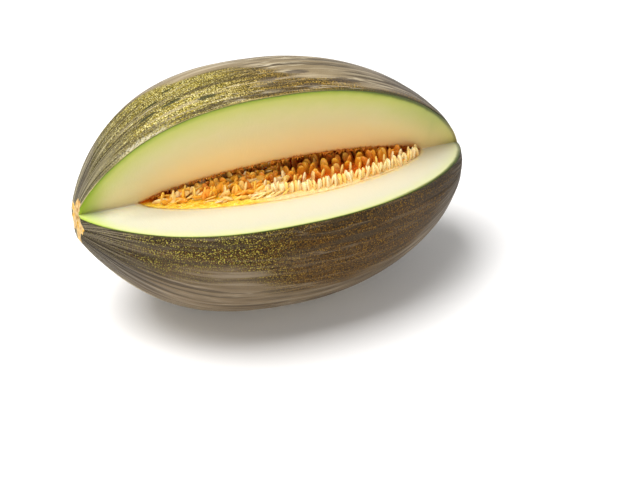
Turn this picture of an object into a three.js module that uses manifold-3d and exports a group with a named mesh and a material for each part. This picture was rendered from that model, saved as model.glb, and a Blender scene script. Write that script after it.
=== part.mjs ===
// A long green melon with one wedge cut out of its side, lying on its ground spot.
//
// Millimetres, +Z up. +X runs from the stem end to the blossom end, and the cut faces -Y.
// The origin is on the resting surface, under the middle of the fruit's length.
//
// Places across the fruit are given as (out, up): out is the distance from the axis towards
// the cut side (-Y), and up is the height above the axis.

import * as THREE from "three";
import { mergeVertices } from "three/addons/utils/BufferGeometryUtils.js";
import Module from "manifold-3d";

// ---- Driving dimensions (mm, and degrees where a name says so) ----

const fruit = {
  radius: 78,
  stemHalfLength: 127,
  blossomHalfLength: 130,
  axisTiltDegrees: 4.5, // the stem end lies a little higher
  restingSink: 2, // how far the ground spot is pressed below the widest radius
};

// The stem broke away at a round scar, which cuts the stem end short. That end droops a little.
const scar = {
  inset: 3.8, // from the stem end's own tip
  droop: 6.5,
  droopGrowth: 12, // the droop grows with this power of the distance
  dishRadius: 7,
  dishDepth: 2,
};

// How the radius falls from 1 at the widest station to 0 at each end: (1 - t^swell)^roundness.
const stemEnd = { swell: 2.71, roundness: 0.724 };
const blossomEnd = { swell: 1.97, roundness: 0.587 };

// The knife's two cuts meet in a straight line, the apex, just beside the axis. The knife and
// the seed cavity lie a little flatter than the fruit's own axis.
const wedge = {
  tiltDegrees: 2.1,
  turnDegrees: 0.7,
  apexOut: 2.9,
  apexUp: 5.1,
  lowerFaceDegrees: 10.7,
  upperFaceDegrees: 74.6,
};

// The seed cavity has three lobes, one for each chamber of the fruit.
const cavity = {
  radius: 29.5,
  lobeDepth: 0.32,
  lobeDegrees: 18,
  stemWall: 37, // of flesh beyond it, at each end
  blossomWall: 25,
  taper: 1.2,
};

// The pulp fills the cavity up to the cuts, apart from a hollow behind the line where they meet.
const pulp = {
  gap: 0.35,
  hollowFloorBack: 10,
  hollowFloorDrop: 1,
  hollowWallBack: 14,
  hollowWallRise: 9,
};

const seed = {
  length: 11.4,
  width: 5,
  thickness: 2.2,
  tipTaper: 0.45,
  sink: 3,
  socketGap: 0.4,
};

// Each row stands at a share of the way from the apex to the cavity's front rim, which changes
// from the stem end to the blossom end. It reaches along the cavity as far as the cavity's
// narrowest radius is still the row's share of a seed's length. Its seeds lean towards the cut
// side, and are turned about their own length, by the first number of degrees, give or take
// the second.
const seedRows = [
  { stemShare: 0.42, blossomShare: 0.66, lean: [4, 8], turn: [65, 25], count: 27, room: 0.8 },
  { stemShare: 0.14, blossomShare: 0.24, lean: [-8, 22], turn: [0, 90], count: 17, room: 1.15 },
  { stemShare: -0.2, blossomShare: -0.2, lean: [-22, 12], turn: [0, 90], count: 13, room: 1.22 },
];

const facets = {
  fruit: { around: 44, stations: 30 },
  cavity: { around: 27, stations: 16 },
  seed: { around: 8, stations: 4 },
};

// ---- Colours ----

const rindMaterial = new THREE.MeshStandardMaterial({ color: 0x6d6a38, roughness: 0.55, metalness: 0 });
const pulpMaterial = new THREE.MeshStandardMaterial({ color: 0xf0a335, roughness: 0.35, metalness: 0 });
const seedMaterial = new THREE.MeshStandardMaterial({ color: 0xf2d9a2, roughness: 0.5, metalness: 0 });

// ---- Solids ----

const wasm = await Module();
wasm.setup();

function solidOf(geometry) {
  const bare = geometry.clone();
  bare.deleteAttribute("normal");
  bare.deleteAttribute("uv");
  const merged = mergeVertices(bare, 1e-5);
  return new wasm.Manifold(new wasm.Mesh({
    numProp: 3,
    vertProperties: new Float32Array(merged.attributes.position.array),
    triVerts: new Uint32Array(merged.index.array),
  }));
}

function geometryOf(solid) {
  const mesh = solid.getMesh();
  const geometry = new THREE.BufferGeometry();
  geometry.setAttribute("position", new THREE.BufferAttribute(mesh.vertProperties, 3));
  geometry.setIndex(new THREE.BufferAttribute(mesh.triVerts, 1));
  geometry.computeVertexNormals();
  return geometry;
}

// A closed spindle along X: a sphere whose points move out to the radius wanted at their
// station and angle. The angle is 0 on the cut side and rises towards the top.
function spindle(startX, endX, radiusAt, { around, stations }) {
  const geometry = new THREE.SphereGeometry(1, around, stations);
  geometry.rotateZ(Math.PI / 2);
  const positions = geometry.attributes.position;
  for (let i = 0; i < positions.count; i += 1) {
    const x = THREE.MathUtils.mapLinear(positions.getX(i), -1, 1, startX, endX);
    const angle = Math.atan2(positions.getZ(i), -positions.getY(i));
    const radius = radiusAt(x, angle);
    positions.setXYZ(i, x, -radius * Math.cos(angle), radius * Math.sin(angle));
  }
  return geometry;
}

// A bar along X whose section is the polygon of (out, up) corners.
function bar(corners, length) {
  const section = new THREE.Shape(corners.map(([out, up]) => new THREE.Vector2(out, up)));
  const geometry = new THREE.ExtrudeGeometry(section, { depth: length, bevelEnabled: false });
  geometry.translate(0, 0, -length / 2);
  const outward = new THREE.Vector3(0, -1, 0);
  const upward = new THREE.Vector3(0, 0, 1);
  const along = new THREE.Vector3(-1, 0, 0);
  geometry.applyMatrix4(new THREE.Matrix4().makeBasis(outward, upward, along));
  return geometry;
}

// ---- Shape of the fruit and its cavity ----

const lowerFace = THREE.MathUtils.degToRad(wedge.lowerFaceDegrees);
const upperFace = THREE.MathUtils.degToRad(wedge.upperFaceDegrees);
const scarDistance = fruit.stemHalfLength - scar.inset;
const fruitLength = scarDistance + fruit.blossomHalfLength;
const farAway = 2 * fruit.radius;
const cavityStart = cavity.stemWall - fruit.stemHalfLength;
const cavityEnd = fruit.blossomHalfLength - cavity.blossomWall;
const cavityMiddle = (cavityStart + cavityEnd) / 2;
const cavityWaist = cavity.radius * (1 - cavity.lobeDepth);

function rindRadius(x) {
  const end = x < 0 ? stemEnd : blossomEnd;
  const halfLength = x < 0 ? fruit.stemHalfLength : fruit.blossomHalfLength;
  const t = Math.min(1, Math.abs(x) / halfLength);
  return fruit.radius * (1 - t ** end.swell) ** end.roundness;
}

function stemDroop(x) {
  return x < 0 ? scar.droop * (-x / scarDistance) ** scar.droopGrowth : 0;
}

function cavityRadius(x, angle) {
  const t = THREE.MathUtils.mapLinear(x, cavityStart, cavityEnd, -1, 1);
  const fall = Math.max(0, 1 - t * t) ** (cavity.taper / 2);
  const lobes = Math.cos(3 * (angle - THREE.MathUtils.degToRad(cavity.lobeDegrees)));
  return cavity.radius * (1 + cavity.lobeDepth * lobes) * fall;
}

// How far from its middle the cavity's waist still has a radius.
function cavityReach(radius) {
  const fall = Math.min(1, radius / cavityWaist);
  return Math.sqrt(1 - fall ** (2 / cavity.taper)) * (cavityEnd - cavityMiddle);
}

// The point at a distance from the apex line along the lower face, and a height above that face.
function overLowerFace(distance, height) {
  const out = wedge.apexOut + distance * Math.cos(lowerFace) - height * Math.sin(lowerFace);
  const up = wedge.apexUp + distance * Math.sin(lowerFace) + height * Math.cos(lowerFace);
  return [out, up];
}

// How far the cavity's front rim is from the apex line at a station, found by halving.
function frontRimDistance(x) {
  let inside = 0;
  let outside = farAway;
  for (let step = 0; step < 30; step += 1) {
    const middle = (inside + outside) / 2;
    const [out, up] = overLowerFace(middle, 0);
    if (Math.hypot(out, up) < cavityRadius(x, Math.atan2(up, out))) inside = middle;
    else outside = middle;
  }
  return inside;
}

// ---- Rind and flesh: one grown piece ----

// A group that lies at the fruit's centre, with its +X end dipping by the tilt.
function lyingGroup(tiltDegrees, turnDegrees) {
  const group = new THREE.Group();
  group.rotation.set(0, THREE.MathUtils.degToRad(tiltDegrees), THREE.MathUtils.degToRad(turnDegrees));
  group.position.x = (scarDistance - fruit.blossomHalfLength) / 2;
  group.position.z = fruit.radius - fruit.restingSink;
  group.updateMatrix();
  return group;
}

const wholeFruit = lyingGroup(fruit.axisTiltDegrees, 0);
const cutFruit = lyingGroup(wedge.tiltDegrees, wedge.turnDegrees);

const rind = spindle(-fruit.stemHalfLength, fruit.blossomHalfLength, rindRadius, facets.fruit);
const rindPoints = rind.attributes.position;
for (let i = 0; i < rindPoints.count; i += 1) {
  rindPoints.setZ(i, rindPoints.getZ(i) - stemDroop(rindPoints.getX(i)));
}
rind.applyMatrix4(wholeFruit.matrix);

const stemCut = new THREE.BoxGeometry(fruit.radius, fruit.radius, fruit.radius);
stemCut.translate(-scarDistance - fruit.radius / 2, 0, 0);
stemCut.applyMatrix4(wholeFruit.matrix);

const stemDish = new THREE.SphereGeometry(scar.dishRadius, 12, 8);
stemDish.scale(scar.dishDepth / scar.dishRadius, 1, 1);
stemDish.translate(-scarDistance, 0, -scar.droop);
stemDish.applyMatrix4(wholeFruit.matrix);

const ground = new THREE.BoxGeometry(2 * fruitLength, 4 * fruit.radius, fruit.radius);
ground.translate(0, 0, -fruit.radius / 2);

const upperFaceEnd = [
  wedge.apexOut + farAway * Math.cos(upperFace),
  wedge.apexUp + farAway * Math.sin(upperFace),
];
const wedgeBar = bar([
  overLowerFace(0, 0),
  overLowerFace(farAway, 0),
  [farAway, farAway],
  upperFaceEnd,
], 2 * fruitLength);

const cavityHollow = spindle(cavityStart, cavityEnd, cavityRadius, facets.cavity);

const bodySolid = solidOf(rind)
  .subtract(solidOf(stemCut))
  .subtract(solidOf(stemDish))
  .subtract(solidOf(ground))
  .subtract(solidOf(wedgeBar.clone().applyMatrix4(cutFruit.matrix)))
  .subtract(solidOf(cavityHollow.applyMatrix4(cutFruit.matrix)));

const body = new THREE.Mesh(geometryOf(bodySolid), rindMaterial);
body.name = "melon_body";

// ---- Seeds ----

// A flat drop: poles on its own Y, with the pointed end at -Y. The clearance is added all round.
function seedDrop(clearance) {
  const geometry = new THREE.SphereGeometry(0.5, facets.seed.around, facets.seed.stations);
  const positions = geometry.attributes.position;
  for (let i = 0; i < positions.count; i += 1) {
    const towardsTip = Math.max(0, -2 * positions.getY(i));
    const narrowing = 1 - seed.tipTaper * towardsTip ** 2;
    positions.setX(i, positions.getX(i) * (seed.width * narrowing + 2 * clearance));
    positions.setY(i, positions.getY(i) * (seed.length + 2 * clearance));
    positions.setZ(i, positions.getZ(i) * (seed.thickness * narrowing + 2 * clearance));
  }
  geometry.computeVertexNormals();
  return geometry;
}

// A repeatable number from -1 to 1, so that the seeds lie unevenly but always the same way.
function unevenness(number) {
  const value = Math.sin(number * 12.9898) * 43758.5453;
  return 2 * (value - Math.floor(value)) - 1;
}

const seedShape = seedDrop(0);
const socketShape = seedDrop(seed.socketGap);

// The pulp is the cavity's own shape, drawn in about its middle to leave the gap at its waist.
const pulpShare = 1 - pulp.gap / cavityWaist;
const pulpFill = spindle(cavityStart, cavityEnd, cavityRadius, facets.cavity);
pulpFill.translate(-cavityMiddle, 0, 0);
pulpFill.scale(pulpShare, pulpShare, pulpShare);
pulpFill.translate(cavityMiddle, 0, 0);

const hollowBar = bar([
  overLowerFace(0, 0),
  overLowerFace(farAway, farAway),
  overLowerFace(-pulp.hollowWallBack, farAway),
  overLowerFace(-pulp.hollowWallBack, pulp.hollowWallRise),
  overLowerFace(-pulp.hollowFloorBack, -pulp.hollowFloorDrop),
], 2 * fruitLength);

let pulpSolid = solidOf(pulpFill).subtract(solidOf(wedgeBar)).subtract(solidOf(hollowBar));
let seedNumber = 0;

for (const row of seedRows) {
  const reach = cavityReach(row.room * seed.length);
  const pitch = (2 * reach) / row.count;
  for (let place = 0; place < row.count; place += 1) {
    seedNumber += 1;
    const wander = (salt) => unevenness(seedNumber + 100 * salt);
    const lean = THREE.MathUtils.degToRad(row.lean[0] + row.lean[1] * wander(1));
    const turn = THREE.MathUtils.degToRad(row.turn[0] + row.turn[1] * wander(2));
    const footprint = seed.width * Math.abs(Math.cos(turn)) + seed.thickness * Math.abs(Math.sin(turn));
    const slack = pitch - footprint;
    const x = cavityMiddle - reach + (place + 0.5) * pitch + 0.15 * slack * wander(3);
    const share = THREE.MathUtils.lerp(row.stemShare, row.blossomShare, place / (row.count - 1));
    const distance = frontRimDistance(x) * share + 0.3 * seed.thickness * wander(4);
    const height = seed.length / 2 - seed.sink * (1 + 0.3 * wander(5));
    const [out, up] = overLowerFace(distance, height);
    const drop = new THREE.Mesh(seedShape, seedMaterial);
    drop.name = `seed_${String(seedNumber).padStart(2, "0")}`;
    drop.position.set(x, -out, up);
    drop.rotation.set(Math.PI / 2 + lean, turn, Math.atan((0.5 * slack * wander(6)) / seed.length));
    drop.updateMatrix();
    cutFruit.add(drop);
    const socket = socketShape.clone().applyMatrix4(drop.matrix);
    pulpSolid = pulpSolid.subtract(solidOf(socket));
  }
}

const pulpMass = new THREE.Mesh(geometryOf(pulpSolid), pulpMaterial);
pulpMass.name = "seed_pulp";
cutFruit.add(pulpMass);

const melon = new THREE.Group();
melon.name = "melon";
melon.add(body, cutFruit);

export default melon;
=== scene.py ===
# %% [markdown]
# A long green melon lies on a white table with one wedge cut out of its side. This lesson
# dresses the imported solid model: it keeps every size and place, and gives the rind, the cut
# flesh, the stem scar, the pulp and the seeds their looks. Everything is in metres, with +X
# from the stem end to the blossom end and the cut facing -Y.

# %% Load the frame
import math
import random

import bmesh
import bpy
import numpy as np
from mathutils import Matrix, Vector, noise


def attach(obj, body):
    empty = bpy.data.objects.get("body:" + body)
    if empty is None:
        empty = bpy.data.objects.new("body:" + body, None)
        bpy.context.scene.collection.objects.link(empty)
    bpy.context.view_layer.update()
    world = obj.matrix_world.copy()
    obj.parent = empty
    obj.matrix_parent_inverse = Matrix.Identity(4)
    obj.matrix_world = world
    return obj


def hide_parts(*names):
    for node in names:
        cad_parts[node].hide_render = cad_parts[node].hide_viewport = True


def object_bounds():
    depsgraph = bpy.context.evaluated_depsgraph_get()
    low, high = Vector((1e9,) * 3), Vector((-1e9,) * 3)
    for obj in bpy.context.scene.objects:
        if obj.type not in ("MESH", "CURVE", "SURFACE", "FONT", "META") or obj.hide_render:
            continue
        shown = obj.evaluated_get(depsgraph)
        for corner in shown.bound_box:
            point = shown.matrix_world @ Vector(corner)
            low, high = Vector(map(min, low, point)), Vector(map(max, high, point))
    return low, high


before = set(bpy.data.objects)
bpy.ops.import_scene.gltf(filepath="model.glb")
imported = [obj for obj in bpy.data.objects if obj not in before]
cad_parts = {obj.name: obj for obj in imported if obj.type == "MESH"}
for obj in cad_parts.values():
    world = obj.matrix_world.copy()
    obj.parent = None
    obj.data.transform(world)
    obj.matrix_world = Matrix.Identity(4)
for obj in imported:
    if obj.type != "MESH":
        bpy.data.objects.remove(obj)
cad_low, cad_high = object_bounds()
cad_middle = (cad_low + cad_high) / 2
print("solid model", [round(v, 4) for v in cad_high - cad_low])

# %% [markdown]
# The camera comes first, so that each piece can be looked at as it is made. It stands to the
# left of the cut and above it, with a long lens, which keeps the fruit's two ends alike in
# scale. It aims a little below and in front of the fruit's middle.

# %% Camera
view_turn = math.radians(-21.75)
view_height = math.radians(36)
view_distance = 0.9953
aim = cad_middle + Vector((0.01823, -0.03123, -0.0308))
towards_camera = Vector((
    math.sin(view_turn) * math.cos(view_height),
    -math.cos(view_turn) * math.cos(view_height),
    math.sin(view_height),
))
lens = bpy.data.cameras.new("camera")
lens.lens = 90
lens.sensor_width = 36
lens.clip_end = 20
camera = bpy.data.objects.new("camera", lens)
camera.location = aim + towards_camera * view_distance
camera.rotation_euler = (-towards_camera).to_track_quat("-Z", "Y").to_euler()
scene = bpy.context.scene
scene.collection.objects.link(camera)
scene.camera = camera
scene.view_settings.view_transform = "Standard"
print("camera at", [round(v, 3) for v in camera.location])

# %% [markdown]
# The table is one large white sheet. A wide soft lamp hangs over the fruit, a little to the
# left, so the top of the rind and the lower cut face are bright, the upper cut face is in soft
# shade, and a soft shadow falls to the right. A weaker lamp stands low in front to the left: it
# lifts the shade on the rind but not the shadow. A pale sky fills the rest. Wide lamps are
# chosen over small ones because wet flesh would show a small lamp as hard glints.

# %% Floor
def simple_material(name, colour, roughness):
    """A material with one Principled shader, and that shader's node."""
    material = bpy.data.materials.new(name)
    material.use_nodes = True
    shader = material.node_tree.nodes["Principled BSDF"]
    shader.inputs["Base Color"].default_value = (*colour, 1)
    shader.inputs["Roughness"].default_value = roughness
    return material, shader


floor_mesh = bpy.data.meshes.new("floor")
bm = bmesh.new()
bmesh.ops.create_grid(bm, x_segments=1, y_segments=1, size=4)
bm.to_mesh(floor_mesh)
bm.free()
floor = bpy.data.objects.new("floor", floor_mesh)
scene.collection.objects.link(floor)
floor_mesh.materials.append(simple_material("white table", (0.95, 0.95, 0.955), 0.6)[0])
print("floor", floor.dimensions[0], "m wide")

# %% Lamps and sky
def soft_lamp(name, place, size, power, colour):
    """A square lamp of that size that shines at the fruit's middle."""
    data = bpy.data.lights.new(name, "AREA")
    data.size = size
    data.energy = power
    data.color = colour
    lamp = bpy.data.objects.new(name, data)
    lamp.location = place
    lamp.rotation_euler = (cad_middle - Vector(place)).to_track_quat("-Z", "Y").to_euler()
    scene.collection.objects.link(lamp)
    return lamp


key_lamp = soft_lamp("key lamp", (-0.52, 0.05, 1.6), size=1.15, power=41, colour=(1, 0.985, 0.97))
fill_lamp = soft_lamp("fill lamp", (-0.6, -1.7, 0.35), size=1.0, power=17, colour=(1, 0.985, 0.96))
sky = bpy.data.worlds.new("white sky")
sky.use_nodes = True
sky.node_tree.nodes["Background"].inputs["Color"].default_value = (1, 0.99, 0.97, 1)
sky.node_tree.nodes["Background"].inputs["Strength"].default_value = 0.34
scene.world = sky
print("lamps", key_lamp.data.energy, fill_lamp.data.energy, "W")

# %% [markdown]
# The smooth fruit follows the same rule as the solid model: its radius falls from the widest
# station to each end by a power curve. The whole fruit lies with its blossom end lower. The
# knife's cuts and the seed cavity lie a little flatter than that, so they have a frame of
# their own about the same centre.

# %% Sizes of the fruit and the cut
fruit_radius = 0.078
stem_half_length = 0.127
blossom_half_length = 0.130
scar_station = -0.1232
scar_droop = 0.0065
scar_droop_growth = 12
fruit_centre = Vector((-0.0034, 0, 0.076))
apex_out = 0.0029
apex_up = 0.0051
lower_face_angle = math.radians(10.7)
upper_face_angle = math.radians(74.6)
cavity_radius_mean = 0.0295
cavity_start = -0.090
cavity_end = 0.105


def lying(tilt, turn):
    """The matrix of something that lies at the fruit's centre with its +X end dipping."""
    turned = Matrix.Rotation(math.radians(tilt), 4, "Y") @ Matrix.Rotation(math.radians(turn), 4, "Z")
    return Matrix.Translation(fruit_centre) @ turned


whole_fruit = lying(4.5, 0)
cut_fruit = lying(2.1, 0.7)
cut_in_fruit = np.array(whole_fruit.inverted() @ cut_fruit)[:3, :3]
print("fruit is", round(1000 * (blossom_half_length - scar_station)), "mm long")


# %% Radius of the rind and of the cavity
def rind_radius(x):
    """The fruit's radius at a station x along its axis."""
    stem_side = x < 0
    half = np.where(stem_side, stem_half_length, blossom_half_length)
    swell = np.where(stem_side, 2.71, 1.97)
    roundness = np.where(stem_side, 0.724, 0.587)
    share = np.minimum(1, np.abs(x) / half)
    return fruit_radius * (1 - share ** swell) ** roundness


def stem_droop(x):
    """How far the stem end's axis hangs below the fruit's axis."""
    return scar_droop * np.maximum(0, x / scar_station) ** scar_droop_growth


def cavity_radius(x, angle):
    """The three-lobed cavity's radius at a station and an angle, in the cut's frame."""
    share = (x - cavity_start) / (cavity_end - cavity_start) * 2 - 1
    fall = np.maximum(0, 1 - share ** 2) ** 0.6
    return cavity_radius_mean * (1 + 0.32 * np.cos(3 * (angle - math.radians(18)))) * fall


print("cavity is", round(2000 * float(cavity_radius(0.0075, 0.31))), "mm across a lobe")

# %% [markdown]
# Rind and flesh grew as one piece, so they are one closed mesh. At each station along the
# fruit a loop runs from the cavity's front rim along the lower cut face to the rind, down and
# right round the rind, back along the upper cut face, and round the cavity wall. All the
# loops hold the same number of points, so a plain grid can be bent into the fruit: its rows
# are the stations and its columns go round the loop. Points crowd towards the rind's edges,
# where the colour of the flesh changes fastest.

# %% Stations along the fruit
body_stations = 190
disc_rings = 12


def even_stations(count):
    """Stations from the scar to the blossom end, evenly spaced along the rind's profile."""
    fine = np.linspace(scar_station, blossom_half_length, 20001)
    steps = np.hypot(np.diff(fine), np.diff(rind_radius(fine)))
    travelled = np.concatenate([[0], np.cumsum(steps)])
    return np.interp(np.linspace(0, travelled[-1], count), travelled, fine)


stations = even_stations(body_stations)
print(len(stations), "stations,", round(1000 * (stations[1] - stations[0]), 2), "mm apart at the scar")


# %% The cut faces in the fruit's frame
def face_point(x, distance, angle):
    """(x, out, up) at a fruit station, at a distance from the apex line along a cut face."""
    apex = cut_in_fruit @ np.array([0, -apex_out, apex_up])
    along = cut_in_fruit[:, 0]
    outward = cut_in_fruit @ np.array([0, -math.cos(angle), math.sin(angle)])
    s = (x - apex[0] - distance * outward[0]) / along[0]
    return tuple(
        sign * (apex[i] + s * along[i] + distance * outward[i])
        for i, sign in ((0, 1), (1, -1), (2, 1))
    )


def rind_distance(x, angle):
    """How far the rind is from the apex line along a cut face, or 0 where it is behind it."""
    near = face_point(x, 0 * x, angle)
    far = face_point(x, 0 * x + 1, angle)
    out, up = near[1], near[2] + stem_droop(x)
    go_out, go_up = far[1] - near[1], far[2] - near[2]
    a = go_out ** 2 + go_up ** 2
    b = 2 * (out * go_out + up * go_up)
    c = out ** 2 + up ** 2 - rind_radius(x) ** 2
    return np.where(c < 0, (-b + np.sqrt(np.maximum(0, b * b - 4 * a * c))) / (2 * a), 0)


def rim_distance(x, angle):
    """How far the cavity's rim is from the apex line along a cut face, found by halving."""
    inside = np.zeros_like(x)
    outside = np.full_like(x, 0.06)
    for _ in range(24):
        middle = (inside + outside) / 2
        out = apex_out + middle * math.cos(angle)
        up = apex_up + middle * math.sin(angle)
        closer = np.hypot(out, up) < cavity_radius(x, np.arctan2(up, out))
        inside = np.where(closer, middle, inside)
        outside = np.where(closer, outside, middle)
    return np.where(inside < 1e-5, 0, inside)


middle_station = np.array([0.0])
flesh_width = rind_distance(middle_station, lower_face_angle)[0]
flesh_width -= rim_distance(middle_station, lower_face_angle)[0]
print("flesh on the lower face", round(1000 * float(flesh_width)), "mm wide")

# %% [markdown]
# Each stretch of the loop gets its own spread of points. Zero is where the stretch starts and
# one is where it ends.

# %% Spread of the points round the loop
lower_face_rows = 40
upper_face_rows = 42
cavity_rows = 40
rind_rows = 270
rind_edge_rows = np.array([0, 0.0004, 0.0011, 0.0022, 0.0038])


def crowded(count, power):
    """Shares from 0 to 1 that crowd towards 0."""
    return (np.arange(count + 1) / count) ** power


face_share_lower = crowded(lower_face_rows, 1.7)[::-1]
face_share_upper = crowded(upper_face_rows, 1.7)
rind_share = np.concatenate([
    rind_edge_rows,
    np.linspace(rind_edge_rows[-1], 1 - rind_edge_rows[-1], rind_rows)[1:-1],
    1 - rind_edge_rows[::-1],
])
cavity_share = np.linspace(0, 1, cavity_rows + 1)
print(len(rind_share), "points round the rind,", cavity_rows, "round the cavity")


# %% The cavity's wall and its torn rim
def lobe_wall(x, first, last):
    """(out, up) of the cavity's wall at a fruit station, from one angle round to another."""
    turn = first + (last - first) * cavity_share
    s = np.full_like(turn, x)
    for _ in range(4):
        r = cavity_radius(s, turn)
        place = cut_in_fruit @ np.stack([s, -r * np.cos(turn), r * np.sin(turn)])
        s = s + (x - place[0])
    return -place[1], place[2]


def ragged_rim(x):
    """How far the torn pulp pushes the upper rim up or down at a station."""
    slow = 0.0008 * noise.noise(Vector((x * 260, 3.7, 0)))
    quick = 0.0007 * noise.noise(Vector((x * 640, 8.1, 0)))
    return slow + quick


most_ragged = max(abs(ragged_rim(float(x))) for x in stations)
print("the rim strays by", round(1000 * most_ragged, 2), "mm")


# %% One loop
def round_the_loop(x):
    """(out, up) of the points round one station: lower face, rind, upper face, cavity."""
    one = np.array([x])
    radius = float(rind_radius(one)[0])
    droop = float(stem_droop(x))
    lower_rind = float(rind_distance(one, lower_face_angle)[0])
    upper_rind = float(rind_distance(one, upper_face_angle)[0])
    lower_rim = float(rim_distance(one, lower_face_angle)[0])
    upper_rim = float(rim_distance(one, upper_face_angle)[0])
    if upper_rim > 0.002:
        upper_rim += ragged_rim(x)
    lower_d = lower_rind + (lower_rim - lower_rind) * face_share_lower
    upper_d = upper_rind + (upper_rim - upper_rind) * face_share_upper
    _, lower_out, lower_up = face_point(x, lower_d, lower_face_angle)
    _, upper_out, upper_up = face_point(x, upper_d, upper_face_angle)
    start = math.atan2(lower_up[-1] + droop, lower_out[-1])
    end = math.atan2(upper_up[0] + droop, upper_out[0]) - 2 * math.pi
    angle = start + (end - start) * rind_share
    rind_out = radius * np.cos(angle)
    rind_up = radius * np.sin(angle) - droop
    if lower_rind == 0:  # the whole section lies behind the apex line
        for row, first in ((lower_out, rind_out), (upper_out, rind_out)):
            row[:] = first[0]
        for row, first in ((lower_up, rind_up), (upper_up, rind_up)):
            row[:] = first[0]
    if lower_rim > 0 and upper_rim > 0:
        cavity_out, cavity_up = lobe_wall(
            x,
            math.atan2(apex_up + upper_rim * math.sin(upper_face_angle),
                       apex_out + upper_rim * math.cos(upper_face_angle)),
            math.atan2(apex_up + lower_rim * math.sin(lower_face_angle),
                       apex_out + lower_rim * math.cos(lower_face_angle)) + 2 * math.pi,
        )
        cavity_out[-1], cavity_up[-1] = lower_out[0], lower_up[0]
    else:
        cavity_out = np.linspace(upper_out[-1], lower_out[0], cavity_rows + 1)
        cavity_up = np.linspace(upper_up[-1], lower_up[0], cavity_rows + 1)
    out = np.concatenate([lower_out, rind_out[1:-1], upper_out, cavity_out[1:]])
    up = np.concatenate([lower_up, rind_up[1:-1], upper_up, cavity_up[1:]])
    return out, up


loops = [round_the_loop(float(x)) for x in stations]
loop_points = len(loops[0][0])
loop_kind = np.concatenate([
    np.full(lower_face_rows + 1, 0),
    np.full(len(rind_share) - 2, 1),
    np.full(upper_face_rows + 1, 2),
    np.full(cavity_rows, 3),
])
print(loop_points, "points round each loop")

# %% [markdown]
# The loops meet the flat stem scar at one end, where they shrink in rings to its middle, and
# the blossom end at the other, where they close by themselves.

# %% Places of all the points, in the fruit's frame
disc_shares = np.linspace(0, 1, disc_rings + 1)[:-1]
disc_out = [loops[0][0] * share for share in disc_shares]
disc_up = [(loops[0][1] + scar_droop) * share - scar_droop for share in disc_shares]
all_x = np.repeat(np.concatenate([np.full(disc_rings, scar_station), stations]), loop_points)
all_out = np.concatenate(disc_out + [loop[0] for loop in loops])
all_up = np.concatenate(disc_up + [loop[1] for loop in loops])
print(len(all_x), "points before doubles are merged")

# %% [markdown]
# A ripe melon isn't smooth. Long shallow ribs run from end to end, and finer wrinkles draw
# together towards both ends, above all at the stem. A noise that is stretched along the fruit
# gives both: it reads the station and the direction round the axis, so its lines close up by
# themselves where the fruit narrows. The relief only ever sinks below the true radius, so the
# fruit keeps its size.

# %% Measures that follow the skin
section_up = all_up + stem_droop(all_x)
section_radius = np.hypot(all_out, section_up)
direction = np.arctan2(section_up, all_out)
slope = np.gradient(rind_radius(stations), stations)
steepness = np.sqrt(1 + np.interp(all_x, stations, slope) ** 2)
true_radius = rind_radius(all_x)
depth = np.maximum(0, true_radius - section_radius) / steepness
depth[:disc_rings * loop_points] = 0
grain = np.stack([all_x, fruit_radius * np.cos(direction), fruit_radius * np.sin(direction)], axis=1)


def noise_of(points, scale, offset):
    """A smooth noise from -1 to 1 at each point, with its own scale along each axis."""
    scaled = points * np.array(scale) + offset
    return np.array([noise.noise(Vector(p)) for p in scaled])


def smooth_step(low, high, value):
    """0 below low, 1 above high and a smooth rise between them."""
    share = np.clip((value - low) / (high - low), 0, 1)
    return share * share * (3 - 2 * share)


print("deepest flesh", round(1000 * float(depth.max())), "mm below the rind")

# %% Ribs and wrinkles
near_skin = np.exp(-depth / 0.0008)
narrowness = np.sqrt(np.clip(true_radius / fruit_radius, 0.02, 1))
towards_ends = smooth_step(0.055, 0.115, np.abs(all_x - 0.004))
ribs = 0.5 - 0.5 * noise_of(grain, (10, 70, 70), 3.1)
wrinkles = np.abs(noise_of(grain, (16, 150, 150), 7.7))
creases = np.abs(noise_of(grain, (26, 290, 290), 1.3))
rib_depth = 0.00075
wrinkle_depth = 0.0002 + 0.0011 * towards_ends
crease_depth = 0.0001 + 0.0004 * towards_ends
sink = narrowness * (
    rib_depth * ribs
    + wrinkle_depth * (1 - wrinkles) ** 3
    + crease_depth * (1 - creases) ** 4
)
print("relief reaches", round(1000 * float((sink * near_skin).max()), 2), "mm deep")

# %% [markdown]
# The stem broke away at a corky scar. Its outline is a ragged star whose points run out over
# the rind. It is a little raised and crumpled, with a small dark pit where the stem's core was.

# %% Stem scar
disc_radius = float(rind_radius(np.array([scar_station]))[0])
profile_steps = np.hypot(np.diff(stations), np.diff(rind_radius(stations)))
over_rind = np.interp(all_x, stations, np.concatenate([[0], np.cumsum(profile_steps)]))
on_disc = np.arange(len(all_x)) < disc_rings * loop_points
from_scar = np.where(on_disc, section_radius, disc_radius + over_rind)
star_radius = 0.0118
star = star_radius + 0.0026 * np.cos(5 * direction - 0.6) + 0.0012 * np.cos(3 * direction + 1.9)
crumple = noise_of(np.stack([all_x, all_out, all_up], axis=1), (400, 400, 400), 5.5)
scar = 1 - smooth_step(-0.0009, 0.0009, from_scar - star + 0.0012 * crumple)
pit_out, pit_up = 0.0014, -0.0035
pit = np.exp(-((all_out - pit_out) ** 2 + (all_up - pit_up) ** 2) / 0.0019 ** 2)
pit *= smooth_step(0.004, 0.001, all_x - scar_station)
scar_rise = scar * (0.0004 * crumple - 0.0004) - 0.0026 * pit
print("scar is", round(2000 * float(star.mean()), 1), "mm across")

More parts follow.
